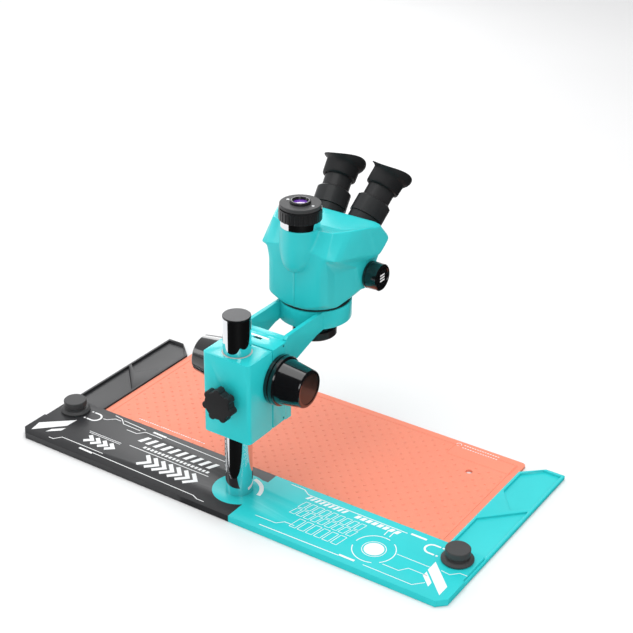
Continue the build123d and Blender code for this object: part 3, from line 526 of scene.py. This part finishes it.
def nub_field(pitch, radius, height):
    """Domes z = height (1 - r^2) on a diamond grid, as one mesh: 3 rings of 10 sides each."""
    spots = []
    rows = int((mat_high.y - mat_low.y) / (pitch / 2))
    for row in range(1, rows):
        y = mat_low.y + 0.009 + row * pitch / 2
        shift = pitch / 2 * (row % 2)
        for x in np.arange(mat_low.x + 0.014 + shift, mat_high.x - 0.013, pitch):
            if y < mat_high.y - 0.013:
                spots.append((x, y))
    spots = np.array(spots)
    clear = np.hypot(spots[:, 0] + 0.2, spots[:, 1] + 0.191) > 0.009
    panel = (abs(spots[:, 0] + 0.2) < 0.046) & (abs(spots[:, 1] + 0.224) < 0.014)
    spots = spots[clear & ~panel]
    turn = np.linspace(0, 2 * np.pi, 10, endpoint=False)
    share = np.array([1.0, 1.0, 0.72, 0.38])
    lift = np.array([-0.4, 0.0, 0.55, 0.9]) * height
    ring = np.stack([
        radius * share[:, None] * np.cos(turn), radius * share[:, None] * np.sin(turn),
        np.repeat(lift[:, None], 10, 1) + mat_top,
    ], -1).reshape(-1, 3)
    one = np.vstack([ring, [(0, 0, mat_top - 0.4 * height)], [(0, 0, mat_top + height)]])
    side = np.arange(10)
    after = (side + 1) % 10
    walls = [np.stack([side + k, after + k, after + k + 10, side + k + 10], 1) for k in (0, 10, 20)]
    caps = np.vstack([
        np.stack([after, side, np.full(10, 40)], 1), np.stack([side + 30, after + 30, np.full(10, 41)], 1),
    ])
    offset = np.column_stack([spots, np.zeros(len(spots))])
    corners = (offset[:, None, :] + one[None]).reshape(-1, 3)
    faces = []
    for group in walls + [caps]:
        tiled = group[None] + (np.arange(len(spots)) * len(one))[:, None, None]
        faces += tiled.reshape(-1, group.shape[1]).tolist()
    return corners, faces


corners, faces = nub_field(0.0165, 0.0019, 0.0006)
mesh = bpy.data.meshes.new("mat_nubs")
mesh.from_pydata(corners.tolist(), [], faces)
mesh.polygons.foreach_set("use_smooth", [True] * len(mesh.polygons))
mesh.materials.append(silicone)
nubs = bpy.data.objects.new("mat_nubs", mesh)
bpy.context.scene.collection.objects.link(nubs)
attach(nubs, "base")


def bead(name, corners_mm, radius, half, rise):
    """A low rounded rib along a closed rounded rectangle: half an ellipse carried round it."""
    x0, x1, y0, y1 = corners_mm
    path = np.vstack([
        arc(x1 - radius, y1 - radius, radius, 0, 90, 12),
        arc(x0 + radius, y1 - radius, radius, 90, 180, 12),
        arc(x0 + radius, y0 + radius, radius, 180, 270, 12),
        arc(x1 - radius, y0 + radius, radius, 270, 360, 12),
    ]) * MM
    step = np.roll(path, -1, 0) - np.roll(path, 1, 0)
    step /= np.linalg.norm(step, axis=1)[:, None]
    outward = np.stack([step[:, 1], -step[:, 0]], 1)
    turn = np.linspace(0, 2 * np.pi, 13)[:-1]
    across, up = half * np.cos(turn), np.where(np.sin(turn) > 0, rise, 0.0003) * np.sin(turn)
    points = np.concatenate([
        path[:, None, :] + outward[:, None, :] * across[None, :, None],
        np.broadcast_to(up[None, :, None] + mat_top, (len(path), 12, 1)),
    ], -1)
    return surface(name, points, "base", silicone, close_u=True, close_v=True)


bead("mat_edge_bead", (-241, 241, -235.5, -48), 5.0, 0.0009, 0.0005)
bead("mat_panel_bead", (-243, -157, -234.6, -212), 3.0, 0.0006, 0.0004)

dashes = [slanted(97 + 3.5 * k, -61.2, 2.2, 1.4, 0.4) for k in range(30)]
dashes += [slanted(-216 + 3.5 * k, y, 2.2, 1.3, 0.4) for y in (-233.6, -239.4) for k in range(14)]
dashes.append(stroke(arc(-161.5, -237, 3.2, 0, 360, 25), 0.8))
inked("mat_dashes", dashes, ink, mat_top + 0.00002, mat_top + 0.00008)

# ---------------------------------------------------------------- column, end plug and bush
# A tube ground and hard-chromed to 32 mm, closed by a turned steel plug. It stands on a steel
# flange screwed up from below, and the block slides on it in a nylon bush.

chrome, tree, shader, place = new_finish("bright_chrome")
smear = noise(tree, place, 28.0, 5.0)
feed(
    tree, shader, Base_Color=smear.mixed((0.74, 0.75, 0.77, 1), (0.82, 0.83, 0.85, 1)), Metallic=1.0,
    Roughness=smear * 0.05 + 0.02, Normal=grain(tree, noise(tree, place, 90.0), 0.05, 0.0001),
)


def ground(name, shade_low, shade_high, rough, stretch):
    """Ground or brushed metal: noise drawn out along one axis for the lay of the tool."""
    made, tree, shader, place = new_finish(name)
    drawn = tree.node("Mapping", {}, {"Vector": place, "Scale": stretch})
    lay = noise(tree, drawn, 240.0, 4.0)
    feed(
        tree, shader, Base_Color=lay.mixed(shade_low, shade_high), Metallic=1.0,
        Roughness=lay * 0.12 + rough, Normal=grain(tree, lay, 0.3, 0.00004),
    )
    return made


def moulded(name, shade_low, shade_high, rough, speck, depth, coat=0.0):
    """Moulded or anodised black: fine speckle, handling marks in the gloss."""
    made, tree, shader, place = new_finish(name)
    fine_grain = noise(tree, place, speck, 3.0)
    handled = noise(tree, place, 40.0, 5.0)
    feed(
        tree, shader, Base_Color=handled.mixed(shade_low, shade_high),
        Roughness=handled * 0.14 + rough, Specular_IOR_Level=0.3, Coat_Weight=coat,
        Coat_Roughness=0.05,
        Normal=grain(tree, fine_grain, 0.4, depth),
    )
    return made


def dress(material, *names):
    """Gives CAD nodes that stay in view their material in place of their plain slot."""
    for name in names:
        mesh = nodes[name].data
        mesh.materials.clear()
        mesh.materials.append(material)


ground_steel = ground("ground_steel", (0.08, 0.08, 0.082, 1), (0.11, 0.11, 0.113, 1), 0.34, (1, 8, 1))
plain_steel = ground("plain_steel", (0.6, 0.6, 0.61, 1), (0.72, 0.74, 0.75, 1), 0.25, (1, 6, 1))
nylon = moulded("natural_nylon", (0.6, 0.6, 0.56, 1), (0.72, 0.72, 0.68, 1), 0.4, 700.0, 0.00005)
dress(chrome, "column")
dress(ground_steel, "column_cap")
dress(plain_steel, "column_foot", "foot_screws", "tray_screws")
dress(nylon, "column_bush")

# ---------------------------------------------------------------- magnetic hold-downs
# Turned aluminium buttons, black anodised, with a wide flange to lift them by. A disc magnet
# is pressed in underneath.

dull_top = moulded(
    "grey_anodised", (0.05, 0.05, 0.051, 1), (0.065, 0.065, 0.066, 1),
    0.42, 1600.0, 0.00004,
)
dress(dull_top, "hold_down_left", "hold_down_right")
dress(plain_steel, "hold_down_magnet_left", "hold_down_magnet_right")

# ---------------------------------------------------------------- focusing block, knobs and fork arm
# Sand-cast aluminium, machined and enamelled: the two castings of the block, and the fork
# with its ring. The knobs are moulded in black plastic round turned steel and brass parts.

softened("block_rear", ["clamp_block"], "block", turquoise_paint, 0.0012)
softened("block_front", ["focus_housing"], "block", turquoise_paint, 0.0010)
softened("fork_casting", ["fork_arm"], "carriage", turquoise_paint, 0.0016)

brass = ground("machined_brass", (0.7, 0.5, 0.2, 1), (0.82, 0.62, 0.3, 1), 0.22, (6, 1, 1))
plastic = moulded(
    "black_plastic", (0.014, 0.014, 0.015, 1), (0.024, 0.024, 0.025, 1),
    0.42, 1300.0, 0.00012,
)
gloss = moulded(
    "gloss_black", (0.004, 0.004, 0.0045, 1), (0.008, 0.008, 0.009, 1),
    0.1, 500.0, 0.00001, 1.0,
)
# The knob badges are dark plastic with a painted reflection: the brown tint in their base colour stands
# for the coral mat they mirror.
badge = moulded(
    "dark_badge_painted_coral_tint", (0.022, 0.013, 0.011, 1), (0.03, 0.018, 0.015, 1),
    0.12, 500.0, 0.00001, 0.25,
)
dress(brass, "shaft_bearings", "pinion", "focus_rack")
dress(plain_steel, "slide_rail", "clamp_stud", "slide_screws", "drive_shaft")
dress(plastic, "star_knob", "gib_screws")
dress(gloss, "friction_rings", "focus_knob_left", "focus_knob_right")
dress(badge, "knob_badge_left", "knob_badge_right")

# ---------------------------------------------------------------- objective and the optics in the head
# A gloss black barrel hangs below the fork's ring from a black anodised seat. Coated glass
# sits in anodised tubes, and a brass drum moves it when the zoom is turned.

glass, tree, shader, place = new_finish("coated_glass")
bloom = noise(tree, place, 60.0)
feed(
    tree, shader, Base_Color=bloom.mixed((0.012, 0.02, 0.022, 1), (0.02, 0.035, 0.04, 1)),
    Roughness=bloom * 0.04 + 0.02, Coat_Weight=1.0, Coat_Roughness=0.01,
)
anodised = moulded(
    "black_anodised", (0.014, 0.014, 0.015, 1), (0.022, 0.022, 0.023, 1),
    0.24, 1800.0, 0.00003, 0.3,
)
dress(anodised, "head_spigot", "head_lock", "optics_plate", "objective_collar", "optic_tubes")
dress(gloss, "objective_barrel")
dress(glass, "objective_lens", "prism_block")
dress(plain_steel, "zoom_shaft")
dress(brass, "zoom_drum")

# ---------------------------------------------------------------- microscope head
# Two moulded half shells in turquoise enamel. The outline is drawn at stations across the
# head; between them it runs straight, then the port boss and the zoom seats are blended in.

PORT_Y, SEAT_Y = -123.0, -155.5
ZOOM_Y, ZOOM_Z = -190.0, 225.0
HEAD_LOW, PORT_LOW = 198.2, 299.0
HEAD_STATIONS = np.array([0, 24, 30.5, 35, 38.5, 40.6, 41.4, 45, 50, 52.3, 53, 58, 60.5, 62.5])
HEAD_SECTIONS = np.array([
    [(-111.6, 198.2), (-111.6, 250), (-111.6, 277), (-118, 296), (-160, 286.5),
     (-200, 288.5), (-238, 250.5), (-232, 240), (-206, 228), (-199.4, 198.2)],
    [(-111.6, 198.2), (-111.6, 250), (-112.4, 273.4), (-125, 296), (-160, 286.5),
     (-200, 288.5), (-236, 252.5), (-231, 242), (-206, 228), (-194, 198.2)],
    [(-111.6, 198.2), (-111.6, 250), (-113, 272.2), (-126.5, 296.3), (-161, 286.8),
     (-200, 288.5), (-234.5, 254), (-230, 243.5), (-206, 228.6), (-190, 198.2)],
    [(-112.7, 198.2), (-112.7, 250), (-113, 271), (-127, 296.8), (-162, 287),
     (-200, 288.5), (-233, 255.5), (-229, 244.7), (-206, 229.2), (-188, 198.2)],
    [(-115.6, 198.2), (-115.6, 249), (-113, 270), (-127.6, 297.2), (-163, 287.2),
     (-200, 288.5), (-231.8, 256.7), (-228, 246), (-206, 230), (-186, 199)],
    [(-120.2, 198.2), (-119.5, 248.5), (-113, 269.5), (-128, 297.4), (-164, 287.3),
     (-200, 288.5), (-231.2, 257.3), (-227.5, 246.7), (-206.5, 230.5), (-185, 199.5)],
    [(-134, 198.2), (-132, 244), (-113, 269), (-128.3, 297.6), (-165, 287.4),
     (-200, 288.5), (-230.5, 258), (-227, 247.4), (-207, 231), (-180, 199)],
    [(-152, 203), (-146, 243), (-114.5, 268.2), (-135, 297), (-168, 287.8),
     (-200, 288.5), (-229, 259.5), (-225, 248.5), (-208, 233), (-186, 203)],
    [(-168, 210), (-160, 243), (-117, 267), (-145, 296.3), (-172, 288.5),
     (-200, 288.5), (-226.5, 262), (-222, 250.5), (-210, 236), (-192, 208)],
    [(-174, 213), (-163, 243.5), (-124, 266), (-150, 296), (-175, 288.8),
     (-200, 288.4), (-225, 263.5), (-221.5, 252), (-210, 238), (-193, 210)],
    [(-178, 245), (-166, 250), (-126.5, 265.5), (-151, 296), (-176, 288.8),
     (-200, 288.4), (-224.5, 263.9), (-220, 253.5), (-209, 247.5), (-195, 244.5)],
    [(-188, 247), (-182, 250), (-160, 260), (-161.5, 295.5), (-182, 289),
     (-199, 288), (-220.5, 266.5), (-219, 257), (-210, 250.5), (-199, 247)],
    [(-192, 248.5), (-191, 250), (-189, 252), (-168, 295), (-185, 289),
     (-198, 287.2), (-218, 265.5), (-217.5, 261), (-209, 254), (-200, 248.5)],
    [(-193, 250.5), (-192, 252.5), (-189.5, 256), (-173, 294), (-186, 289),
     (-197, 286.2), (-216.5, 263.8), (-216, 262.6), (-208, 257), (-200, 252.5)],
])


def section_distance(x, y, z):
    """How far a point lies outside the head's outline at its own station, in mm, as the
    least distance to the outline's edges, with a minus sign inside."""
    reach = np.clip(abs(x), 0, HEAD_STATIONS[-1] - 1e-6)
    bay = np.searchsorted(HEAD_STATIONS, reach, side="right") - 1
    share = (reach - HEAD_STATIONS[bay]) / (HEAD_STATIONS[bay + 1] - HEAD_STATIONS[bay])
    outline = HEAD_SECTIONS[bay] * (1 - share)[:, None, None]
    outline += HEAD_SECTIONS[bay + 1] * share[:, None, None]
    nearest = np.full(len(x), 1e9)
    inside = np.zeros(len(x), bool)
    for k in range(outline.shape[1]):
        y0, z0 = outline[:, k].T
        y1, z1 = outline[:, (k + 1) % outline.shape[1]].T
        ey, ez, wy, wz = y1 - y0, z1 - z0, y - y0, z - z0
        along = np.clip((wy * ey + wz * ez) / (ey ** 2 + ez ** 2), 0, 1)
        nearest = np.minimum(nearest, np.hypot(wy - along * ey, wz - along * ez))
        crosses = (z0 > z) != (z1 > z)
        inside ^= crosses & (y < y0 + ey * (z - z0) / np.where(ez == 0, 1, ez))
    return np.where(inside, -nearest, nearest)


def merged(first, second, radius):
    """The nearer of two distances, with the corner between them filled to about radius."""
    gap = np.clip(0.5 + 0.5 * (second - first) / radius, 0, 1)
    return second * (1 - gap) + first * gap - radius * gap * (1 - gap)


def head_distance(x, y, z):
    """Distance outside the whole casing: the sections, cut at the wing tips and by a cone
    round the seat, joined by the port boss, a column that narrows downwards like half an
    ellipse, and by the zoom seats."""
    shell = np.maximum(section_distance(x, y, z), abs(x) - HEAD_STATIONS[-1])
    cone = (np.hypot(x, y - SEAT_Y) - 44.0 - 1.1 * (z - HEAD_LOW)) / 1.49
    shell = np.maximum(shell, cone)
    droop = np.clip((286.0 - z) / 41.5, 0, 1)
    width = 23.3 * np.sqrt(1 - droop ** 2.3)
    boss = np.hypot(x, y - PORT_Y - 11.4 * droop ** 1.7) - width
    boss = np.maximum(boss, z - PORT_LOW)
    seat = np.maximum(np.hypot(y - ZOOM_Y, z - ZOOM_Z) - 17.6, abs(x) - 52.4)
    return merged(merged(shell, boss, 2.2), seat, 4.0)


def cast_from(centre, count, reach, distance):
    """Rays from a centre through the six faces of a cube, each stopped by halving its last
    step where the distance changes sign: a grid of count by count quads for each face."""
    step = np.tan(np.linspace(-np.pi / 4, np.pi / 4, count + 1))
    a, b = np.meshgrid(step, step, indexing="ij")
    one = np.ones_like(a)
    sides = [(one, a, b), (-one, b, a), (b, one, a), (a, -one, b), (a, b, one), (b, a, -one)]
    rays = np.concatenate([np.stack(side, -1).reshape(-1, 3) for side in sides])
    rays /= np.linalg.norm(rays, axis=1)[:, None]
    near, far = np.full(len(rays), 2.0), np.full(len(rays), reach)
    for _ in range(18):
        middle = (near + far) / 2
        x, y, z = (np.array(centre) + rays * middle[:, None]).T
        within = distance(x, y, z) < 0
        near, far = np.where(within, middle, near), np.where(within, far, middle)
    corners = np.array(centre) + rays * near[:, None]
    index = np.arange((count + 1) ** 2).reshape(count + 1, count + 1)
    quad = np.stack([index[:-1, :-1], index[1:, :-1], index[1:, 1:], index[:-1, 1:]], -1).reshape(-1, 4)
    quads = np.concatenate([quad + k * (count + 1) ** 2 for k in range(6)])
    return corners * MM, quads


enamel, tree, shader, place = new_finish("head_enamel")
across = abs(tree.node("SeparateXYZ", {}, {"Vector": place}, output="X"))
rise = tree.node("SeparateXYZ", {}, {"Vector": place}, output="Z")
back = tree.node("SeparateXYZ", {}, {"Vector": place}, output="Y")
seam = (across < 0.00028) * (rise < 0.2465) * (back > -0.125)
mottle = noise(tree, place, 30.0, 4.0)
skin = noise(tree, place, 1100.0)
feed(
    tree, shader,
    Base_Color=(seam * 0.75).mixed(mottle.mixed(TURQUOISE_DEEP, TURQUOISE), (0.01, 0.3, 0.31, 1)),
    Roughness=noise(tree, place, 9.0, 5.0) * 0.14 + 0.34, Coat_Weight=0.2, Coat_Roughness=0.18,
    Normal=grain(tree, skin - seam * 2.0, 0.4, 0.0001),
)
corners, quads = cast_from((0.0, -148.0, 256.0), 120, 150.0, head_distance)
casing = closed_mesh("head_casing", corners, quads, "head", enamel)
soften = casing.modifiers.new("soft_edges", "SMOOTH")
soften.factor = 0.5
soften.iterations = 14
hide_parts("head_casing_left", "head_casing_right")

# ---------------------------------------------------------------- camera port
# A chromed band carries a knurled ring and a thin anodised plate round a lens with a purple
# coating. Two bright socket screws fill the holes in the plate.

purple, tree, shader, place = new_finish("purple_coated_glass")
bloom = noise(tree, place, 90.0)
feed(
    tree, shader, Base_Color=bloom.mixed((0.16, 0.045, 0.42, 1), (0.26, 0.09, 0.62, 1)),
    Roughness=bloom * 0.05 + 0.04, Coat_Weight=1.0, Coat_Roughness=0.01,
)



def lathed(name, profile, centre, body, material, sides=28):
    """A solid of revolution about a vertical axis: the closed profile (r, z) swept round it."""
    turn = np.linspace(0, 2 * np.pi, sides, endpoint=False)
    line = np.array(profile, float)
    points = np.stack([
        np.cos(turn)[:, None] * line[:, 0] + centre[0], np.sin(turn)[:, None] * line[:, 0] + centre[1],
        np.broadcast_to(line[:, 1] + centre[2], (sides, len(line))),
    ], -1)
    return surface(name, points * MM, body, material, close_u=True)


dress(chrome, "port_tube")
dress(anodised, "port_ring", "port_lens_cell")
dress(dull_top, "port_plate")
dress(purple, "port_lens")
plate_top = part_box("port_plate")[1].z / MM
screw_profile = [
    (0.0, -1.6), (2.15, -1.6), (2.15, -0.3), (1.9, -0.05), (0.9, -0.05), (0.7, -0.7), (0.0, -0.7),
]
for side, name in ((-1, "left"), (1, "right")):
    centre = (side * 17.0, PORT_Y, plate_top)
    lathed(f"port_screw_{name}", screw_profile, centre, "port_focus", plain_steel)

# ---------------------------------------------------------------- zoom knobs
# A gloss black knob on each end of one shaft, with a knurled band. Three plain bars are
# printed in white on each knob's face.

dress(gloss, "zoom_knob_left", "zoom_knob_right")
face_x = -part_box("zoom_knob_left")[0].x / MM - 0.68
bars = [(-4.8, z, 4.8, z + 1.9) for z in (2.6, -0.95, -4.5)]
for side, name in ((-1, "left"), (1, "right")):
    block = np.array([[(y0, z0), (y1, z0), (y1, z1), (y0, z1)] for y0, z0, y1, z1 in bars])
    depth = np.full(block.shape[:2], side * face_x)
    level = np.stack([depth, block[..., 0] + ZOOM_Y, block[..., 1] + ZOOM_Z], -1)
    raised = level + (side * 0.06, 0, 0)
    corners = np.concatenate([level, raised], 1).reshape(-1, 3) * MM
    around = [(k, k + 4, (k + 1) % 4 + 4, (k + 1) % 4) for k in range(4)]
    box_faces = np.array([(0, 1, 2, 3), (7, 6, 5, 4)] + around)
    quads = np.concatenate([box_faces + 8 * k for k in range(len(bars))])
    closed_mesh(f"zoom_mark_{name}", corners, quads, "zoom", ink, smooth=False)

# ---------------------------------------------------------------- eyepieces and eyecups
# Satin black tubes and dioptre rings with coated lenses. On each sits a moulded rubber cup: a
# straight skirt, a thin flared lip, and a shield that swells on its left-hand side.

satin_black = moulded(
    "satin_black", (0.018, 0.018, 0.019, 1), (0.028, 0.028, 0.029, 1),
    0.36, 1500.0, 0.00005, 0.1,
)
rubber = moulded("black_rubber", (0.010, 0.010, 0.011, 1), (0.017, 0.017, 0.018, 1), 0.5, 900.0, 0.0001)
dress(satin_black, "eye_turret_left", "eye_turret_right", "dioptre_ring_left", "dioptre_ring_right",
      "eyepiece_left", "eyepiece_right")
dress(glass, "eye_lens_left", "eye_lens_right")

CUP_PLAIN = np.array([
    (17.0, 49.2), (19.8, 49.1), (20.5, 49.8), (20.8, 52), (20.9, 58), (20.9, 63.5), (20.95, 68.6),
    (21.6, 70.3), (23.2, 71.7), (25.2, 72.7), (25.8, 73.1), (25.4, 73.4), (22.6, 72.5), (20.2, 70.7),
    (18.8, 68.0), (17.7, 65.2), (17.0, 64.2),
])
CUP_WING = np.array([
    (17.0, 49.2), (19.8, 49.1), (20.5, 49.8), (20.8, 52), (21.0, 56.0), (21.6, 62.1), (23.5, 64.1),
    (25.8, 67.0), (27.3, 71.6), (27.1, 74.6), (26.6, 76.0), (25.9, 76.0), (25.4, 72.0), (23.8, 68.0),
    (20.8, 66.2), (18.2, 65.2), (17.0, 64.2),
])


def eye_frame(side):
    """Origin on the sloping face, and the axes of one eyepiece: across, up the face, outwards."""
    tilt, spread = math.radians(45.0), math.radians(6.5)
    out = np.array([
        side * math.sin(spread), -math.cos(spread) * math.sin(tilt), math.cos(spread) * math.cos(tilt),
    ])
    cross = np.array([1.0, 0.0, 0.0]) - out[0] * out
    cross /= np.linalg.norm(cross)
    return np.array([side * 24.8, -216.0, 272.5]), cross, np.cross(out, cross), out


def smoothed(profile, count):
    """More points through a closed profile's corners, by Catmull-Rom cubics."""
    before, after, later = np.roll(profile, 1, 0), np.roll(profile, -1, 0), np.roll(profile, -2, 0)
    t = np.linspace(0, 1, count, endpoint=False)[None, :, None]
    p0, p1, p2, p3 = (q[:, None, :] for q in (before, profile, after, later))
    line = 0.5 * (2 * p1 + (p2 - p0) * t + (2 * p0 - 5 * p1 + 4 * p2 - p3) * t ** 2
                  + (3 * p1 - p0 - 3 * p2 + p3) * t ** 3)
    return line.reshape(-1, 2)


for side, name in ((-1, "left"), (1, "right")):
    origin, cross, slope, out = eye_frame(side)
    turn = np.linspace(0, 2 * np.pi, 120, endpoint=False)
    wing = (0.5 - 0.5 * np.cos(turn)) ** 2.2
    rim = 72.3 + 2.8 * np.cos(2 * turn) - 0.8 * np.cos(turn)
    wall = (1 - wing)[:, None, None] * smoothed(CUP_PLAIN, 4) + wing[:, None, None] * smoothed(CUP_WING, 4)
    crown = wall[:, :, 1].max(1)
    share = np.clip((wall[:, :, 1] - 56.0) / (crown - 56.0)[:, None], 0, 1)
    wall[:, :, 1] += share * (rim - crown)[:, None]
    ray = np.cos(turn)[:, None] * cross + np.sin(turn)[:, None] * slope
    points = origin + wall[:, :, :1] * ray[:, None, :] + wall[:, :, 1:] * out
    cup = surface(f"rubber_cup_{name}", points * MM, f"cup_{name}", rubber,
                  close_u=True, close_v=True)
    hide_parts(f"eyecup_{name}")
